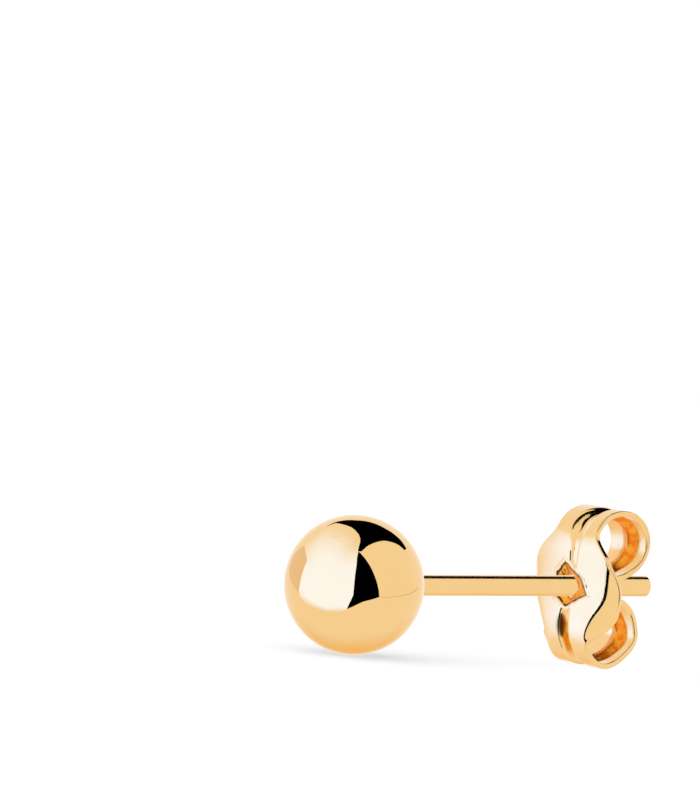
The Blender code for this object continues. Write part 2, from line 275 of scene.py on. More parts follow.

# Gold of each finish as a lighter and a deeper tone, then the torn metal and the dark parts. The inside's
# deeper tone is partly painted reflection of the gold in itself. The torn metal's deep orange and the ridge's
# are painted reflection, and the dark parts are painted shade and a painted dark reflection
BALL_GOLD = ((0.925, 0.618, 0.270, 1), (0.915, 0.604, 0.258, 1))
SHEET_GOLD = ((0.935, 0.620, 0.270, 1), (0.915, 0.595, 0.245, 1))
INNER_GOLD = ((0.94, 0.62, 0.28, 1), (0.90, 0.50, 0.15, 1))
PAINTED_REFLECTION_ORANGE = ((0.91, 0.32, 0.005, 1), (0.70, 0.16, 0.001, 1))
RIDGE_PAINTED_REFLECTION = ((0.92, 0.34, 0.03, 1), (0.84, 0.19, 0.008, 1))
RIDGE_EDGE_PAINTED_SHADE = (0.72, 0.28, 0.04, 1)
RIM_PAINTED_SHADE_TONE = (0.03, 0.008, 0.001, 1)
PAINTED_DARK_REFLECTION_TONE = (0.05, 0.012, 0.002, 1)

# Floor and the soft light over it
FLOOR_REACH = 3.0
FLOOR_TONE = (0.475, 0.475, 0.475, 1.0)
TOP_LIGHT = 4.1
TOP_LIGHT_FROM = (-50, 66)
TOP_LIGHT_SPREAD = math.radians(110)


def cubic(t, start, end, leave, arrive):
    """Cubic from one value to another with a slope at each end, at a share t of the way."""
    first = (2 * t ** 3 - 3 * t ** 2 + 1) * start + (t ** 3 - 2 * t ** 2 + t) * leave
    last = (3 * t ** 2 - 2 * t ** 3) * end + (t ** 3 - t ** 2) * arrive
    return first + last


def through_rows(rows, column, x):
    """Smooth cubic through one column of a table whose first column is the place."""
    rows = sorted(rows)
    places = np.array([row[0] for row in rows], float)
    values = np.array([row[column] for row in rows], float)
    slopes = np.diff(values) / np.diff(places)
    tangents = np.concatenate([slopes[:1], (slopes[:-1] + slopes[1:]) / 2, slopes[-1:]])
    x = np.clip(np.asarray(x, float), places[0], places[-1])
    i = np.clip(np.searchsorted(places, x, side="right") - 1, 0, len(places) - 2)
    step = places[i + 1] - places[i]
    t = (x - places[i]) / step
    return cubic(t, values[i], values[i + 1], step * tangents[i], step * tangents[i + 1])


def smoothstep(x):
    """Rise from 0 to 1 with level ends."""
    x = np.clip(x, 0.0, 1.0)
    return x * x * (3 - 2 * x)


def rise(x, places):
    """Rise from 0 to 1 between two places, with level ends."""
    return smoothstep((x - places[0]) / (places[1] - places[0]))


def soft_ramp(x, rounding):
    """0 below zero and x above it, with a rounded bend between."""
    return (x + np.sqrt(x * x + rounding * rounding)) / 2


def seat_height():
    """Height over the post's axis of an arm's middle line, whose groove straddles the post with the gap."""
    half = GROOVE_WIDTH / 2
    w = np.linspace(0, POST_RADIUS + RUNNING_GAP + SHEET, SEAT_POINTS)
    phase = np.pi * np.clip(w / half, 0, 1)
    pressed = GROOVE_DEPTH * (np.cos(phase) / 2 + 0.5)
    slope = -GROOVE_DEPTH * np.pi / (2 * half) * np.sin(phase)
    face_w = w + slope / np.hypot(1, slope) * SHEET / 2
    face_z = pressed - SHEET / 2 / np.hypot(1, slope)
    clear = (POST_RADIUS + RUNNING_GAP) ** 2 - face_w ** 2
    return (np.sqrt(np.maximum(clear, 0)) - face_z).max()


def loop_line(table, radius, side):
    """Middle line of one loop in the XZ plane; side is +1 for the upper loop and -1 for the lower one."""
    angles = np.linspace(table[0][0], table[-1][0], LOOP_POINTS)
    radii = radius * through_rows(table, 1, angles)
    across = radii * np.cos(np.radians(angles))
    up = radii * np.sin(np.radians(angles))
    height = seat_height() - up.min()
    back = PLATE_X + side * height * math.tan(PLATE_LEAN) - across[:PLATE_SIDE_POINTS].min()
    return np.stack([back + across, side * (height + up)], axis=1)


def plate_line(middle, loop, lean):
    """Middle line of half the plate, from the post's height to the start of a loop."""
    t = np.linspace(0, 1, PLATE_POINTS)[:, None]
    reach = np.linalg.norm(loop[0] - middle)
    leave = lean * reach
    arrive = (loop[1] - loop[0]) / np.linalg.norm(loop[1] - loop[0]) * reach
    return cubic(t, middle, loop[0], leave, arrive)


def strip_line():
    """Distance along the strip from the post's height and the middle line's points, lower end first."""
    middle = np.array([PLATE_X, 0.0])
    lean = np.array([math.sin(PLATE_LEAN), math.cos(PLATE_LEAN)])
    upper = loop_line(UPPER_LOOP, UPPER_LOOP_RADIUS, 1)
    lower = loop_line(LOWER_LOOP, LOWER_LOOP_RADIUS, -1)
    above = np.concatenate([plate_line(middle, upper, lean)[1:], upper[1:]])
    below = np.concatenate([plate_line(middle, lower, -lean)[1:], lower[1:]])
    points = np.concatenate([below[::-1], middle[None], above])
    steps = np.linalg.norm(np.diff(points, axis=0), axis=1)
    along = np.concatenate([[0.0], np.cumsum(steps)])
    return along - along[len(below)], points


def smoothed(values, width):
    """Running mean along a line, with its two ends kept."""
    padded = np.pad(values, width, mode="reflect", reflect_type="odd")
    return np.convolve(padded, np.ones(2 * width + 1) / (2 * width + 1), mode="valid")


def even_line():
    """The middle line at even distances, with the bends between its stretches eased."""
    along, points = strip_line()
    even = np.linspace(along[0], along[-1], LINE_POINTS)
    eased = []
    for values in points.T:
        eased.append(smoothed(smoothed(np.interp(even, along, values), LINE_EASING), LINE_EASING))
    return even, np.stack(eased, axis=1)


ALONG, LINE = even_line()
START, END = ALONG[0], ALONG[-1]


def line_at(s):
    """Point of the middle line at a distance along the strip, run on straight past its ends."""
    inside = np.clip(s, START, END)
    point = np.stack([np.interp(inside, ALONG, LINE[:, 0]), np.interp(inside, ALONG, LINE[:, 1])], axis=-1)
    first = (LINE[1] - LINE[0]) / (ALONG[1] - ALONG[0])
    last = (LINE[-1] - LINE[-2]) / (ALONG[-1] - ALONG[-2])
    past = np.asarray(s - inside)[..., None]
    return point + past * np.where(past > 0, last, first)


def half_width(s):
    """Half the strip's width at a distance along it: lobes on the plate, arms that narrow to their ends."""
    lobes = through_rows(LOBE_OUTLINE, 1, s / (LOBE_HEIGHT / 2)) * (LOBE_WIDTH - ARM_WIDTH) / 2
    ends = np.where(s > 0, s / END, s / START)
    arm = ARM_WIDTH - (ARM_WIDTH - END_WIDTH) * smoothstep((ends - ARM_NARROWS_FROM) / ARM_NARROWS_OVER)
    return arm / 2 + lobes


def crumple(s, w):
    """Uneven, torn look of the metal pressed in round the hole, between -1 and 1."""
    u = s / MILLIMETRE
    v = w / MILLIMETRE
    coarse = np.sin(9.0 * u + 4.0 * np.sin(5.0 * v)) * np.sin(8.0 * v + 1.3 + 3.0 * np.sin(6.0 * u))
    fine = np.sin(31.0 * u + 2.0 * np.sin(17.0 * v)) * np.sin(27.0 * v + 0.7)
    return 0.65 * coarse + 0.35 * fine


def from_groove(s, w):
    """Distance from the groove's middle line."""
    return np.abs(w - GROOVE_WIDTH * through_rows(GROOVE_RUN, 4, s / (LOBE_HEIGHT / 2)))


def dimple_share(s, w):
    """0 at the hole's middle, growing to 1 on the dimple's straight, slightly ragged edges."""
    across, up = w / (DIMPLE_WIDTH / 2), s / (DIMPLE_HEIGHT / 2)
    shares = []
    for (x0, y0, _), (x1, y1, _) in zip(DIMPLE_CORNERS, DIMPLE_CORNERS[1:] + DIMPLE_CORNERS[:1]):
        out_x, out_y = y1 - y0, x0 - x1
        shares.append((across * out_x + up * out_y) / (x0 * out_x + y0 * out_y))
    return np.max(shares, axis=0) + RAGGED * crumple(s * 0.6, w * 0.6)


def relief(s, w):
    """How far the sheet is pressed back from its plain form at s along and w across."""
    height = s / (LOBE_HEIGHT / 2)
    across = np.abs(w)
    lobe = LOBE_WIDTH / 2
    bow = BOW_DEPTH * (across / lobe) ** 2 * (1 - rise(np.abs(height), BOW_FADES))
    groove_half = GROOVE_WIDTH / 2 * through_rows(GROOVE_RUN, 1, height)
    groove = smoothstep((1 - from_groove(s, w) / groove_half) / through_rows(GROOVE_RUN, 3, height))
    groove = groove * GROOVE_DEPTH * through_rows(GROOVE_RUN, 2, height)
    past_fold = soft_ramp(across - lobe * through_rows(FOLD_LINE, 1, height), FOLD_ROUND)
    fold = FOLD_SLOPE * through_rows(FOLD_LINE, 2, height) * past_fold
    share = dimple_share(s, w)
    half_dimple = DIMPLE_WIDTH / 2
    dimple = DIMPLE_DEPTH / half_dimple * soft_ramp(half_dimple * (1 - share), DIMPLE_ROUND)
    torn = CRUMPLE * crumple(s, w) * smoothstep((1.0 - share) / TORN_OVER)
    burr = BURR_HEIGHT * np.exp(-((share - 1) * half_dimple / BURR_WIDTH) ** 2)
    return bow + groove * rise(share, GROOVE_SETS_IN) + fold + dimple + torn - burr


def sheet_middle(s, w):
    """Middle of the sheet's thickness, as points in the post's frame."""
    reach = SHEET / 100
    ahead = line_at(s + reach) - line_at(s - reach)
    ahead = ahead / np.linalg.norm(ahead, axis=-1, keepdims=True)
    pressed = relief(s, w)
    x = line_at(s)[..., 0] + ahead[..., 1] * pressed
    z = line_at(s)[..., 1] - ahead[..., 0] * pressed
    return np.stack([x, w, z], axis=-1)


def sheet_point(s, w, lift, beyond_s=0.0, beyond_w=0.0):
    """Point at a height over the sheet's middle, moved on in the sheet by the last two distances."""
    reach = SHEET / 12
    along = sheet_middle(s + reach, w) - sheet_middle(s - reach, w)
    across = sheet_middle(s, w + reach) - sheet_middle(s, w - reach)
    normal = np.cross(across, along)
    normal = normal / np.linalg.norm(normal, axis=-1, keepdims=True)
    return sheet_middle(s + beyond_s, w + beyond_w) + normal * np.asarray(lift)[..., None]


def hole_radius(angle):
    """Radius of the hole at an angle round the post, with the metal torn towards the dimple's corners."""
    tips = POST_RADIUS + HOLE_CLEARANCE
    radius = tips + HOLE_WAVES * (2 + np.sin(7 * angle + 1.0) + np.sin(19 * angle))
    for across, up, torn in DIMPLE_CORNERS:
        w, s = across * DIMPLE_WIDTH / 2, up * DIMPLE_HEIGHT / 2
        turn = np.angle(np.exp(1j * (angle - math.atan2(s, w))))
        reach = max(math.hypot(w, s) - tips, 0.0) * torn
        radius = radius + reach * np.exp(-(turn / TEAR_ANGLE) ** 2)
    return radius


def painted_groove_reflection(s, w):
    """1 along the middle of the painted dark reflection on the groove's wall below the hole, fading to its
    edges.
    """
    down = np.clip((-s - SHADE_TOP) / SHADE_LENGTH, 0, 1)
    spread = SHADE_WIDTH / 2 * np.sin(np.pi * down) + SHADE_LEAST_WIDTH
    return np.exp(-((w - SHADE_MIDDLE) / spread) ** 2) * smoothstep(np.sin(np.pi * down) * SHADE_ENDS)


def dullness_and_painted_reflection(s, w):
    """1 where the press left the outer face dull, with painted reflection in deep orange: round the hole and
    low in the groove.
    """
    dimple = smoothstep((1.0 - dimple_share(s, w)) / RAW_OVER)
    in_groove = smoothstep((GROOVE_WIDTH * RAW_HALF_WIDTH - np.abs(w)) / (GROOVE_WIDTH * RAW_EDGE))
    low = rise(-s, RAW_GROWS) * (1 - rise(-s, RAW_FADES))
    return np.maximum(dimple, in_groove * low)


def rim_painted_shade(s, w):
    """1 just inside the dimple's edge, where painted shade lies on its torn metal."""
    return np.exp(-((dimple_share(s, w) - RIM_PLACE) / RIM_SPREAD) ** 2)


# What the clutch's mesh stores for its materials
CLUTCH_MEASURES = (
    ("raw", dullness_and_painted_reflection), ("rim", rim_painted_shade), ("shade", painted_groove_reflection), ("from_groove", from_groove),
)

# Number of the material on each side of the sheet: side 1 faces into the loops and side -1 outwards
FACE_FINISH = {1: 1, -1: 0}


class Sheet:
    """Vertices and faces of a mesh as they are added."""

    def __init__(self):
        self.points = []
        self.places = []
        self.faces = []
        self.finish = []

    def add(self, points, s, w):
        """Add an array of points, with their places on the flat sheet, and return their numbers."""
        first = len(self.points)
        self.points.extend(points.reshape(-1, 3).tolist())
        self.places.extend(np.stack([s, w], axis=-1).reshape(-1, 2).tolist())
        return np.arange(first, len(self.points)).reshape(points.shape[:-1])

    def band(self, first, second, flipped=False, finish=0):
        """Faces between two open rows of vertex numbers, with the number of their material."""
        for a, b, c, d in zip(first[:-1], first[1:], second[1:], second[:-1]):
            self.faces.append((d, c, b, a) if flipped else (a, b, c, d))
            self.finish.append(finish)

    def closed_band(self, first, second, flipped=False, finish=0):
        """Faces between two closed rings of vertex numbers."""
        self.band(np.append(first, first[0]), np.append(second, second[0]), flipped, finish)


def columns():
    """Columns from the middle outwards: distances kept in the groove, then shares of what is left."""
    groove = np.linspace(0, GROOVE_WIDTH * GROOVE_REACH, GROOVE_STEPS)
    outer = np.linspace(0, 1, OUTER_STEPS + 1)[1:]
    return groove, outer


def column_places(s):
    """Distances across the strip of the mesh's columns, for an array of distances along it."""
    groove, outer = columns()
    half = (half_width(s) - EDGE_ROUND)[:, None]
    in_groove = np.repeat(groove[None], len(s), axis=0)
    right = np.concatenate([in_groove, groove[-1] + (half - groove[-1]) * outer], axis=1)
    return np.concatenate([-right[:, :0:-1], right], axis=1)


def rim(sheet, upper, lower, s, w, out_s, out_w, rounding):
    """Rounded edge between the two faces, with the outward direction in the sheet given at each point."""
    flat = SHEET / 2 - rounding
    previous = upper
    angles = np.linspace(90, 0, RIM_STEPS + 1)[1:]
    turns = [(a, 1) for a in angles] + [(a, -1) for a in angles[::-1]]
    for angle, side in turns:
        out = rounding * math.cos(math.radians(angle))
        lift = side * (flat + rounding * math.sin(math.radians(angle)))
        points = sheet_point(s, w, np.full(len(s), lift), out * out_s, out * out_w)
        ring = sheet.add(points, s + out * out_s, w + out * out_w)
        sheet.closed_band(previous, ring)
        previous = ring
    sheet.closed_band(previous, lower)


def clutch_sheet():
    """The clutch as one closed sheet, cut through by the torn hole."""
    below = np.linspace(START + EDGE_ROUND, 0, math.ceil(-START / ROW_STEP) + 1)
    above = np.linspace(0, END - EDGE_ROUND, math.ceil(END / ROW_STEP) + 1)
    rows = np.concatenate([below, above[1:]])
    w = column_places(rows)
    s = np.repeat(rows[:, None], w.shape[1], axis=1)
    middle = w.shape[1] // 2
    left, right = middle - PATCH_STEPS, middle + PATCH_STEPS
    patch_rows = np.nonzero(np.abs(rows) <= DIMPLE_HEIGHT / 2 + ROWS_PAST_DIMPLE * ROW_STEP)[0]
    bottom, top = patch_rows[0], patch_rows[-1]

    sheet = Sheet()
    faces = {}
    for side in (1, -1):
        grid = sheet.add(sheet_point(s, w, np.full(s.shape, side * SHEET / 2)), s, w)
        faces[side] = grid
        finish = FACE_FINISH[side]
        for i in range(len(rows) - 1):
            if bottom <= i < top:
                sheet.band(grid[i, :left + 1], grid[i + 1, :left + 1], side == 1, finish)
                sheet.band(grid[i, right:], grid[i + 1, right:], side == 1, finish)
            else:
                sheet.band(grid[i], grid[i + 1], side == 1, finish)

    ring = [(bottom, j) for j in range(left, right)] + [(i, right) for i in range(bottom, top)]
    ring += [(top, j) for j in range(right, left, -1)] + [(i, left) for i in range(top, bottom, -1)]
    ring_i, ring_j = np.array(ring).T
    edge_s, edge_w = s[ring_i, ring_j], w[ring_i, ring_j]
    angle = np.arctan2(edge_s, edge_w)
    hole_s, hole_w = hole_radius(angle) * np.sin(angle), hole_radius(angle) * np.cos(angle)
    holes = {}
    for side in (1, -1):
        previous = faces[side][ring_i, ring_j]
        for share in np.linspace(1, 0, HOLE_STEPS + 1)[1:]:
            at_s, at_w = hole_s + (edge_s - hole_s) * share, hole_w + (edge_w - hole_w) * share
            inner = sheet.add(sheet_point(at_s, at_w, np.full(len(at_s), side * SHEET / 2)), at_s, at_w)
            sheet.closed_band(previous, inner, side == 1, FACE_FINISH[side])
            previous = inner
        holes[side] = previous
    inward = np.hypot(hole_s, hole_w)
    rim(sheet, holes[1], holes[-1], hole_s, hole_w, -hole_s / inward, -hole_w / inward, HOLE_EDGE_ROUND)

    last_row, last_column = len(rows) - 1, w.shape[1] - 1
    border = [(0, j) for j in range(last_column)] + [(i, last_column) for i in range(last_row)]
    border += [(last_row, j) for j in range(last_column, 0, -1)] + [(i, 0) for i in range(last_row, 0, -1)]
    border_i, border_j = np.array(border).T
    edge_s, edge_w = s[border_i, border_j], w[border_i, border_j]
    ahead_s = np.roll(edge_s, -1) - np.roll(edge_s, 1)
    ahead_w = np.roll(edge_w, -1) - np.roll(edge_w, 1)
    length = np.hypot(ahead_s, ahead_w)
    rim(sheet, faces[1][border_i, border_j], faces[-1][border_i, border_j], edge_s, edge_w,
        -ahead_w / length, ahead_s / length, EDGE_ROUND)
    return sheet


def corner_arc(centre_x, centre_r, radius, start, end):
    """Points of an arc in the turned profile, from one angle in degrees to another."""
    points = []
    for step in range(CORNER_STEPS + 1):
        angle = math.radians(start + (end - start) * step / CORNER_STEPS)
        points.append((centre_x + radius * math.cos(angle), centre_r + radius * math.sin(angle)))
    return points


def stud_profile():
    """Half section of the stud from the ball to the post's tip, as (x, radius), without its two poles."""
    flat_angle = math.degrees(math.asin(FLAT_DIAMETER / BALL_DIAMETER))
    profile = []
    for ring in range(1, BALL_RINGS + 1):
        angle = math.radians(180 - (180 - flat_angle) * ring / BALL_RINGS)
        profile.append((BALL_RADIUS * math.cos(angle), BALL_RADIUS * math.sin(angle)))
    profile.append((FLAT_X, POST_RADIUS + SOLDER_LEG + FLAT_EDGE))
    profile += corner_arc(FLAT_X + SOLDER_LEG, POST_RADIUS + SOLDER_LEG, SOLDER_LEG, 180, 270)
    start = FLAT_X + SOLDER_LEG
    for share in np.linspace(0, 1, POST_RINGS)[1:-1]:
        profile.append((start + (TIP_X - TIP_ROUND - start) * share, POST_RADIUS))
    profile += corner_arc(TIP_X - TIP_ROUND, POST_RADIUS - TIP_ROUND, TIP_ROUND, 90, 0)
    for share in (0.75, 0.5, 0.25):
        profile.append((TIP_X, (POST_RADIUS - TIP_ROUND) * share))
    return np.array(profile)


def stud_sheet():
    """The ball and post turned about the post's axis."""
    profile = stud_profile()
    turn = np.linspace(0, math.tau, BALL_SIDES, endpoint=False)
    x = np.repeat(profile[:, :1], BALL_SIDES, axis=1)
    y = profile[:, 1:] * np.cos(turn)
    z = profile[:, 1:] * np.sin(turn)
    around = np.repeat(turn[None] * POST_RADIUS, len(profile), axis=0)
    sheet = Sheet()
    grid = sheet.add(np.stack([x, y, z], axis=-1), x, around)
    for first, second in zip(grid[:-1], grid[1:]):
        sheet.closed_band(first, second, True)
    for ring, pole_x in ((grid[0], -BALL_RADIUS), (grid[-1][::-1], TIP_X)):
        pole = sheet.add(np.array([[pole_x, 0.0, 0.0]]), np.array([pole_x]), np.array([0.0]))[0]
        for a, b in zip(ring, np.roll(ring, -1)):
            sheet.faces.append((a, b, pole))
            sheet.finish.append(0)
    return sheet


def post_frame():
    """The post's own frame in the earring's, from the ball's box and the clutch's joint axis."""
    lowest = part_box("ball_post")[0]
    axis = Vector(frame["joints"][0]["axis"])
    tilt = math.atan2(axis.z, axis.x)
    return Matrix.Translation((lowest.x + BALL_RADIUS, 0, BALL_RADIUS)) @ Matrix.Rotation(-tilt, 4, "Y")


def add_piece(name, sheet, materials, body, node, measures=()):
    """Make the object that stands for a CAD node, and let it ride on that node's body."""
    bm = bmesh.new()
    flat = bm.loops.layers.uv.new("flat_sheet")
    used = sorted(set(number for face in sheet.faces for number in face))
    verts = {number: bm.verts.new(sheet.points[number]) for number in used}
    for numbers, finish in zip(sheet.faces, sheet.finish):
        face = bm.faces.new([verts[number] for number in numbers])
        face.material_index = finish
        for loop, number in zip(face.loops, numbers):
            loop[flat].uv = sheet.places[number]
    bmesh.ops.recalc_face_normals(bm, faces=bm.faces)
    bmesh.ops.transform(bm, matrix=post_frame(), verts=bm.verts)
    mesh = bpy.data.meshes.new(name)
    bm.to_mesh(mesh)
    bm.free()
    places = np.array([sheet.places[number] for number in used]).T
    for label, measure in measures:
        mesh.attributes.new(label, "FLOAT", "POINT").data.foreach_set("value", measure(*places))
    mesh.shade_smooth()
    mesh.set_sharp_from_angle(angle=SHARP_ANGLE)
    for material in materials:
        mesh.materials.append(material)
    piece = bpy.data.objects.new(name, mesh)
    bpy.context.collection.objects.link(piece)
    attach(piece, body)
    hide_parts(node)
    return piece


def new_material(name):
    """A material with its nodes, its links and its Principled shader."""
    material = bpy.data.materials.new(name)
    material.use_nodes = True
    nodes = material.node_tree.nodes
    return material, nodes, material.node_tree.links, nodes["Principled BSDF"]


def noise_node(nodes, links, vector, scale, detail, stretch=(1, 1, 1)):
    """Noise over a coordinate, stretched along its axes."""
    mapping = nodes.new("ShaderNodeMapping")
    mapping.inputs["Scale"].default_value = stretch
    links.new(vector, mapping.inputs["Vector"])
    noise = nodes.new("ShaderNodeTexNoise")
    noise.inputs["Scale"].default_value = scale
    noise.inputs["Detail"].default_value = detail
    links.new(mapping.outputs["Vector"], noise.inputs["Vector"])
    return noise.outputs["Fac"]


def ranged(nodes, links, value, low, high):
    """Spread a noise's middle range over low to high."""
    node = nodes.new("ShaderNodeMapRange")
    node.inputs["From Min"].default_value = 0.3
    node.inputs["From Max"].default_value = 0.7
    node.inputs["To Min"].default_value = low
    node.inputs["To Max"].default_value = high
    links.new(value, node.inputs["Value"])
    return node.outputs["Result"]


def mixed(nodes, links, first, second, share):
    """Mix of two colours, each a socket or four numbers, by a socket."""
    mix = nodes.new("ShaderNodeMix")
    mix.data_type = "RGBA"
    for name, colour in (("A", first), ("B", second)):
        if isinstance(colour, tuple):
            mix.inputs[name].default_value = colour
        else:
            links.new(colour, mix.inputs[name])
    links.new(share, mix.inputs["Factor"])
    return mix.outputs["Result"]


def gold_nodes(name, tones):
    """Gold whose tone drifts between two close ones, with its coordinates and its tone's socket."""
    material, nodes, links, shader = new_material(name)
    shader.inputs["Metallic"].default_value = 1.0
    place = nodes.new("ShaderNodeTexCoord").outputs
    drift = noise_node(nodes, links, place["Object"], 900, 2)
    tone = mixed(nodes, links, *tones, ranged(nodes, links, drift, 0, 1))
    return material, nodes, links, shader, place, tone


def add_relief(nodes, links, shader, layers):
    """Bumps laid over each other: height, depth in metres and a strength that may be a socket."""
    normal = None
    for height, depth, strength in layers:
        bump = nodes.new("ShaderNodeBump")
        bump.inputs["Distance"].default_value = depth
        links.new(height, bump.inputs["Height"])
        if isinstance(strength, float):
            bump.inputs["Strength"].default_value = strength
        else:
            links.new(strength, bump.inputs["Strength"])
        if normal:
            links.new(normal, bump.inputs["Normal"])
        normal = bump.outputs["Normal"]
    links.new(normal, shader.inputs["Normal"])


def stepped(nodes, links, value, start, end):
    """Rise from 0 to 1 between two values of a socket."""
    node = nodes.new("ShaderNodeMapRange")
    node.inputs["From Min"].default_value = start
    node.inputs["From Max"].default_value = end
    links.new(value, node.inputs["Value"])
    return node.outputs["Result"]


def sum_of(nodes, links, value, factor, addend):
    """A socket times a number or socket, plus a socket or number."""
    node = nodes.new("ShaderNodeMath")
    node.operation = "MULTIPLY_ADD"
    for slot, term in enumerate((value, factor, addend)):
        if isinstance(term, float):
            node.inputs[slot].default_value = term
        else:
            links.new(term, node.inputs[slot])
    return node.outputs["Value"]


def attribute(nodes, name):
    """Value stored on the mesh."""
    node = nodes.new("ShaderNodeAttribute")
    node.attribute_name = name
    return node.outputs["Fac"]


def polished_material():
    """Mirror polish on the ball, and the softer drawn finish of wire on the post."""
    material, nodes, links, shader, place, tone = gold_nodes("polished_gold", BALL_GOLD)
    links.new(tone, shader.inputs["Base Color"])
    split = nodes.new("ShaderNodeSeparateXYZ")
    links.new(place["Object"], split.inputs["Vector"])
    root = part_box("ball_post")[0].x + BALL_RADIUS + FLAT_X
    drawn = stepped(nodes, links, split.outputs["X"], root, root + POST_RADIUS)
    fine = noise_node(nodes, links, place["Object"], 2500, 4)
    roughness = sum_of(nodes, links, drawn, 0.13, ranged(nodes, links, fine, 0.015, 0.04))
    links.new(roughness, shader.inputs["Roughness"])
    waves = noise_node(nodes, links, place["Object"], 350, 1)
    lines = noise_node(nodes, links, place["UV"], 12000, 3, (0.04, 1, 1))
    add_relief(nodes, links, shader, [(waves, 2e-6, 1.0), (lines, 4e-7, drawn)])
    return material


def stamped_material():
    """Bright rolled sheet, a little uneven from the press and torn round the hole, with painted reflection in
    deep orange there and low in the groove, painted shade in dark strokes on the hole's rim and a painted
    dark reflection below the hole.
    """
    material, nodes, links, shader, place, tone = gold_nodes("stamped_gold", SHEET_GOLD)
    raw = attribute(nodes, "raw")
    patches = noise_node(nodes, links, place["Object"], 2600, 3)
    torn = noise_node(nodes, links, place["Object"], 4500, 2)
    # Painted reflection: deep orange for the gold's reflections of itself, round the hole and low in the
    # groove
    ragged = mixed(nodes, links, *PAINTED_REFLECTION_ORANGE, stepped(nodes, links, patches, 0.4, 0.6))
    # Painted shade: dark strokes on the torn metal just inside the dimple's edge
    strokes = stepped(nodes, links, torn, 0.38, 0.46)
    painted_shade_strokes = sum_of(nodes, links, attribute(nodes, "rim"), strokes, 0.0)
    with_painted_rim_shade = mixed(nodes, links, ragged, RIM_PAINTED_SHADE_TONE, stepped(nodes, links, painted_shade_strokes, 0.35, 0.6))
    sheet_tone = mixed(nodes, links, tone, with_painted_rim_shade, raw)
    # Painted dark reflection: a dark drop on the groove's wall below the hole
    with_painted_reflection = mixed(nodes, links, sheet_tone, PAINTED_DARK_REFLECTION_TONE, attribute(nodes, "shade"))
    links.new(with_painted_reflection, shader.inputs["Base Color"])
    fine = noise_node(nodes, links, place["Object"], 2500, 4)
    roughness = sum_of(nodes, links, raw, 0.15, ranged(nodes, links, fine, 0.06, 0.12))
    links.new(roughness, shader.inputs["Roughness"])
    waves = noise_node(nodes, links, place["Object"], 700, 1)
    lines = noise_node(nodes, links, place["UV"], 9000, 3, (0.15, 1, 1))
    add_relief(nodes, links, shader, [(waves, 8e-6, 1.0), (lines, 6e-7, 1.0), (torn, 3e-5, raw)])
    return material


def inner_material():
    """Unpolished inside of the sheet, its deeper tone partly painted reflection, and coarser along the back
    of the groove, with painted reflection in deep orange there and painted shade in a darker line round it.
    """
    material, nodes, links, shader, place, tone = gold_nodes("inner_gold", INNER_GOLD)
    patches = noise_node(nodes, links, place["Object"], 3500, 4)
    wander = sum_of(nodes, links, patches, GROOVE_WIDTH * RIDGE_WANDERS, attribute(nodes, "from_groove"))
    ridge = stepped(nodes, links, wander, GROOVE_WIDTH * RIDGE_ENDS, GROOVE_WIDTH * RIDGE_FULL)
    edge = stepped(nodes, links, wander, GROOVE_WIDTH * RIDGE_EDGE_ENDS, GROOVE_WIDTH * RIDGE_ENDS)
    # Painted reflection in deep orange on the ridge, and painted shade in a darker line round it
    ridge_reflection_tone = mixed(nodes, links, *RIDGE_PAINTED_REFLECTION, stepped(nodes, links, patches, 0.4, 0.6))
    with_painted_ridge_shade = mixed(nodes, links, tone, RIDGE_EDGE_PAINTED_SHADE, edge)
    links.new(mixed(nodes, links, with_painted_ridge_shade, ridge_reflection_tone, ridge), shader.inputs["Base Color"])
    fine = noise_node(nodes, links, place["Object"], 6000, 4)
    roughness = sum_of(nodes, links, ridge, 0.18, ranged(nodes, links, fine, 0.08, 0.16))
    links.new(roughness, shader.inputs["Roughness"])
    waves = noise_node(nodes, links, place["Object"], 900, 2)
    grain = noise_node(nodes, links, place["Object"], 9000, 4)
    add_relief(nodes, links, shader, [(waves, 1e-5, 1.0), (grain, 8e-6, ridge)])
    return material


def camera_axes():
    """Right, up and back directions of the camera, before its roll."""
    a, e = CAMERA_AZIMUTH, CAMERA_ELEVATION
    back = Vector((math.sin(a) * math.cos(e), -math.cos(a) * math.cos(e), math.sin(e)))
    right = Vector((math.cos(a), math.sin(a), 0))
    return right, back.cross(right), back


def add_camera(ball):
    """Long lens at the photograph's angle, framed so that the ball lies at its pixel."""
    right, up, back = camera_axes()
    image_right = right * math.cos(CAMERA_ROLL) + up * math.sin(CAMERA_ROLL)
    image_up = up * math.cos(CAMERA_ROLL) - right * math.sin(CAMERA_ROLL)
    aim = ball - image_right * (BALL_PIXEL_X - IMAGE_WIDTH / 2) / PIXELS_PER_METRE
    aim = aim + image_up * (BALL_PIXEL_Y - IMAGE_HEIGHT / 2) / PIXELS_PER_METRE
    camera = bpy.data.objects.new("camera", bpy.data.cameras.new("camera"))
    bpy.context.collection.objects.link(camera)
    camera.data.sensor_width = SENSOR
    camera.data.lens = SENSOR * CAMERA_DISTANCE * PIXELS_PER_METRE / IMAGE_HEIGHT
    camera.data.clip_start = 0.01
    camera.data.clip_end = 10.0
    turn = Matrix((image_right, image_up, back)).transposed()
    camera.matrix_world = Matrix.Translation(aim + back * CAMERA_DISTANCE) @ turn.to_4x4()
    bpy.context.scene.camera = camera


def studio_direction(azimuth, elevation):
    """Unit vector at degrees to the right of the camera and above the horizon."""
    right, _, back = camera_axes()
    forward = Vector((back.x, back.y, 0)).normalized()
    a, e = math.radians(azimuth), math.radians(elevation)
    flat = forward * math.cos(a) + right * math.sin(a)
    return flat * math.cos(e) + Vector((0, 0, 1)) * math.sin(e)


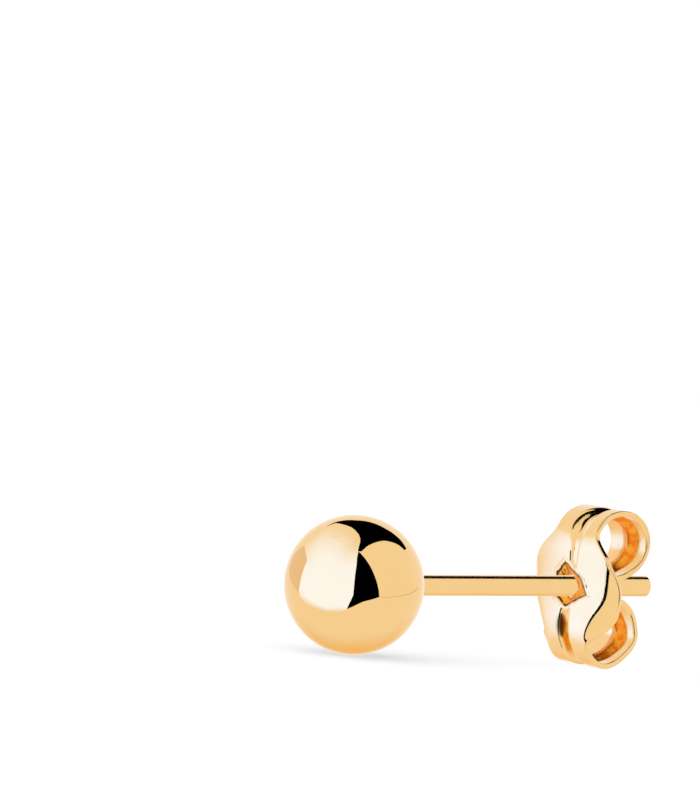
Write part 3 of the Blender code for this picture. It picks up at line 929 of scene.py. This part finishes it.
def card_material(name, colour, added):
    """Light of a card by its glow: added to what lies behind the card, or covering it."""
    material = bpy.data.materials.new(name)
    material.use_nodes = True
    nodes, links = material.node_tree.nodes, material.node_tree.links
    nodes.clear()
    output = nodes.new("ShaderNodeOutputMaterial")
    glow = nodes.new("ShaderNodeAttribute")
    glow.attribute_name = "glow"
    light = nodes.new("ShaderNodeEmission")
    light.inputs["Color"].default_value = colour
    clear = nodes.new("ShaderNodeBsdfTransparent")
    both = nodes.new("ShaderNodeAddShader" if added else "ShaderNodeMixShader")
    links.new(clear.outputs["BSDF"], both.inputs[-2])
    links.new(light.outputs["Emission"], both.inputs[-1])
    links.new(glow.outputs["Fac"], light.inputs["Strength"] if added else both.inputs["Fac"])
    links.new(both.outputs["Shader"], output.inputs["Surface"])
    return material


def between(first, second, share):
    """Direction part of the way from one direction to another."""
    return (first * (1 - share) + second * share).normalized()


def card_object(name, points, faces, glow, material, centre, seen_by):
    """A card that only reflections show, lit for some pieces alone where they are given."""
    mesh = bpy.data.meshes.new(name)
    mesh.from_pydata([tuple(point) for point in points], [], faces)
    mesh.attributes.new("glow", "FLOAT", "POINT").data.foreach_set("value", glow)
    mesh.materials.append(material)
    card = bpy.data.objects.new(name, mesh)
    card.location = centre
    card.visible_camera = False
    card.visible_shadow = False
    card.visible_diffuse = False
    bpy.context.collection.objects.link(card)
    if seen_by:
        lit = bpy.data.collections.new(name + "_lit")
        for piece in seen_by:
            lit.objects.link(piece)
        card.light_linking.receiver_collection = lit


def add_even_card(name, corners, distance, material, centre, seen_by=()):
    """A card with the same glow all over and crisp edges."""
    directions = [studio_direction(*corner) for corner in corners]
    points = []
    for first, second in zip(directions, directions[1:] + directions[:1]):
        points += [between(first, second, step / EDGE_STEPS) * distance for step in range(EDGE_STEPS)]
    card_object(name, points, [tuple(range(len(points)))], [1.0] * len(points), material, centre, seen_by)


def add_glowing_card(name, middle, corners, distance, material, centre, seen_by=()):
    """A card whose glow fades from its middle outwards to a value at each corner."""
    rows = []
    for first, second in zip(corners, corners[1:] + corners[:1]):
        for step in range(EDGE_STEPS):
            share = step / EDGE_STEPS
            direction = between(studio_direction(*first[:2]), studio_direction(*second[:2]), share)
            glow, start = (np.array(first[2:]) * (1 - share) + np.array(second[2:]) * share).tolist()
            rows.append((direction, glow, start))
    centre_direction = studio_direction(*middle)
    points, glows, faces = [centre_direction * distance], [1.0], []
    for ring in range(1, GLOW_RINGS + 1):
        share = ring / GLOW_RINGS
        for direction, glow, start in rows:
            points.append(between(centre_direction, direction, share) * distance)
            glows.append(1 - (1 - glow) * float(smoothstep((share - start) / (1 - start))))
    count = len(rows)
    for i in range(count):
        faces.append((0, 1 + i, 1 + (i + 1) % count))
        for ring in range(GLOW_RINGS - 1):
            inner, outer = 1 + ring * count, 1 + (ring + 1) * count
            faces.append((inner + i, outer + i, outer + (i + 1) % count, inner + (i + 1) % count))
    card_object(name, points, faces, glows, material, centre, seen_by)


def add_cards(ball, stud, clutch):
    """The studio's cards round the earring, some of them lit for one piece alone."""
    black = card_material("black_cloth", BLACK, False)
    softbox = card_material("softbox", SOFTBOX_LIGHT, True)
    left_wall = card_material("left_wall", LEFT_WALL_LIGHT, False)
    rest_of_white = tuple(1 - value for value in LEFT_WALL_LIGHT[:3]) + (1.0,)
    fill = card_material("left_wall_fill", rest_of_white, True)
    stud_wall = card_material("wall_for_stud", WHITE, False)
    warm = card_material("warm_bounce", WARM_LIGHT, False)
    edge = card_material("table_edge", TABLE_EDGE_LIGHT, False)
    below_edge = [(azimuth, elevation - TABLE_EDGE_HEIGHT) for azimuth, elevation in reversed(TABLE_EDGE)]
    even_cards = (
        ("camera_gap", CAMERA_GAP, 1.0, black, ()),
        ("dark_ceiling", DARK_CEILING, 1.0, black, ()),
        ("left_wall", LEFT_WALL, 1.6, left_wall, ()),
        ("left_wall_fill", LEFT_WALL, 1.45, fill, (clutch,)),
        ("clutch_gap", CLUTCH_GAP, 1.4, stud_wall, (stud,)),
        ("clutch_ceiling", CLUTCH_CEILING, 1.4, stud_wall, (stud,)),
        ("clutch_flag", CLUTCH_FLAG, 1.42, stud_wall, (stud,)),
        ("table_edge", TABLE_EDGE + tuple(below_edge), 1.3, edge, ()),
    )
    for name, corners, reach, material, seen_by in even_cards:
        add_even_card(name, corners, STUDIO_RADIUS * reach, material, ball, seen_by)
    glowing_cards = (
        ("softbox", SOFTBOX_MIDDLE, SOFTBOX, 1.2, softbox, (stud,)),
        ("clutch_softbox", CLUTCH_SOFTBOX_MIDDLE, CLUTCH_SOFTBOX, 1.3, softbox, (clutch,)),
        ("warm_bounce", WARM_BOUNCE_MIDDLE, WARM_BOUNCE, 1.5, warm, ()),
    )
    for name, middle, corners, reach, material, seen_by in glowing_cards:
        add_glowing_card(name, middle, corners, STUDIO_RADIUS * reach, material, ball, seen_by)


def add_floor():
    """Pale matt floor that no piece reflects."""
    mesh = bpy.data.meshes.new("floor")
    corners = [(x * FLOOR_REACH, y * FLOOR_REACH, 0) for x, y in ((-1, -1), (1, -1), (1, 1), (-1, 1))]
    mesh.from_pydata(corners, [], [(0, 1, 2, 3)])
    material, _, _, shader = new_material("pale_floor")
    shader.inputs["Base Color"].default_value = FLOOR_TONE
    shader.inputs["Roughness"].default_value = 1.0
    shader.inputs["Specular IOR Level"].default_value = 0.0
    mesh.materials.append(material)
    floor = bpy.data.objects.new("floor", mesh)
    floor.visible_glossy = False
    bpy.context.collection.objects.link(floor)


def add_top_light():
    """Wide soft light that gives the ball's faint shadow."""
    top_light = bpy.data.objects.new("top_light", bpy.data.lights.new("top_light", "SUN"))
    top_light.data.energy = TOP_LIGHT
    top_light.data.angle = TOP_LIGHT_SPREAD
    top_light.rotation_euler = studio_direction(*TOP_LIGHT_FROM).to_track_quat("Z", "Y").to_euler()
    top_light.visible_glossy = False
    bpy.context.collection.objects.link(top_light)


def add_white_walls():
    """White all round, shown as it is."""
    world = bpy.data.worlds.new("studio")
    bpy.context.scene.world = world
    world.use_nodes = True
    background = world.node_tree.nodes["Background"]
    background.inputs["Color"].default_value = WHITE
    background.inputs["Strength"].default_value = 1.0
    bpy.context.scene.view_settings.view_transform = "Standard"


def keep_apart(stud, clutch):
    """Neither piece shows in the other, and the clutch has no shadow, as in the photograph."""
    for piece in (stud, clutch):
        piece.visible_diffuse = False
        piece.visible_glossy = False
    clutch.visible_shadow = False


def main():
    ball = post_frame() @ Vector()
    stud = add_piece(
        "polished_ball_post", stud_sheet(), [polished_material()], "stud", "ball_post")
    golds = [stamped_material(), inner_material()]
    clutch = add_piece(
        "stamped_clutch", clutch_sheet(), golds, "clutch", "butterfly_clutch",
        CLUTCH_MEASURES)
    add_cards(ball, stud, clutch)
    add_floor()
    add_top_light()
    keep_apart(stud, clutch)
    add_white_walls()
    add_camera(ball)


main()
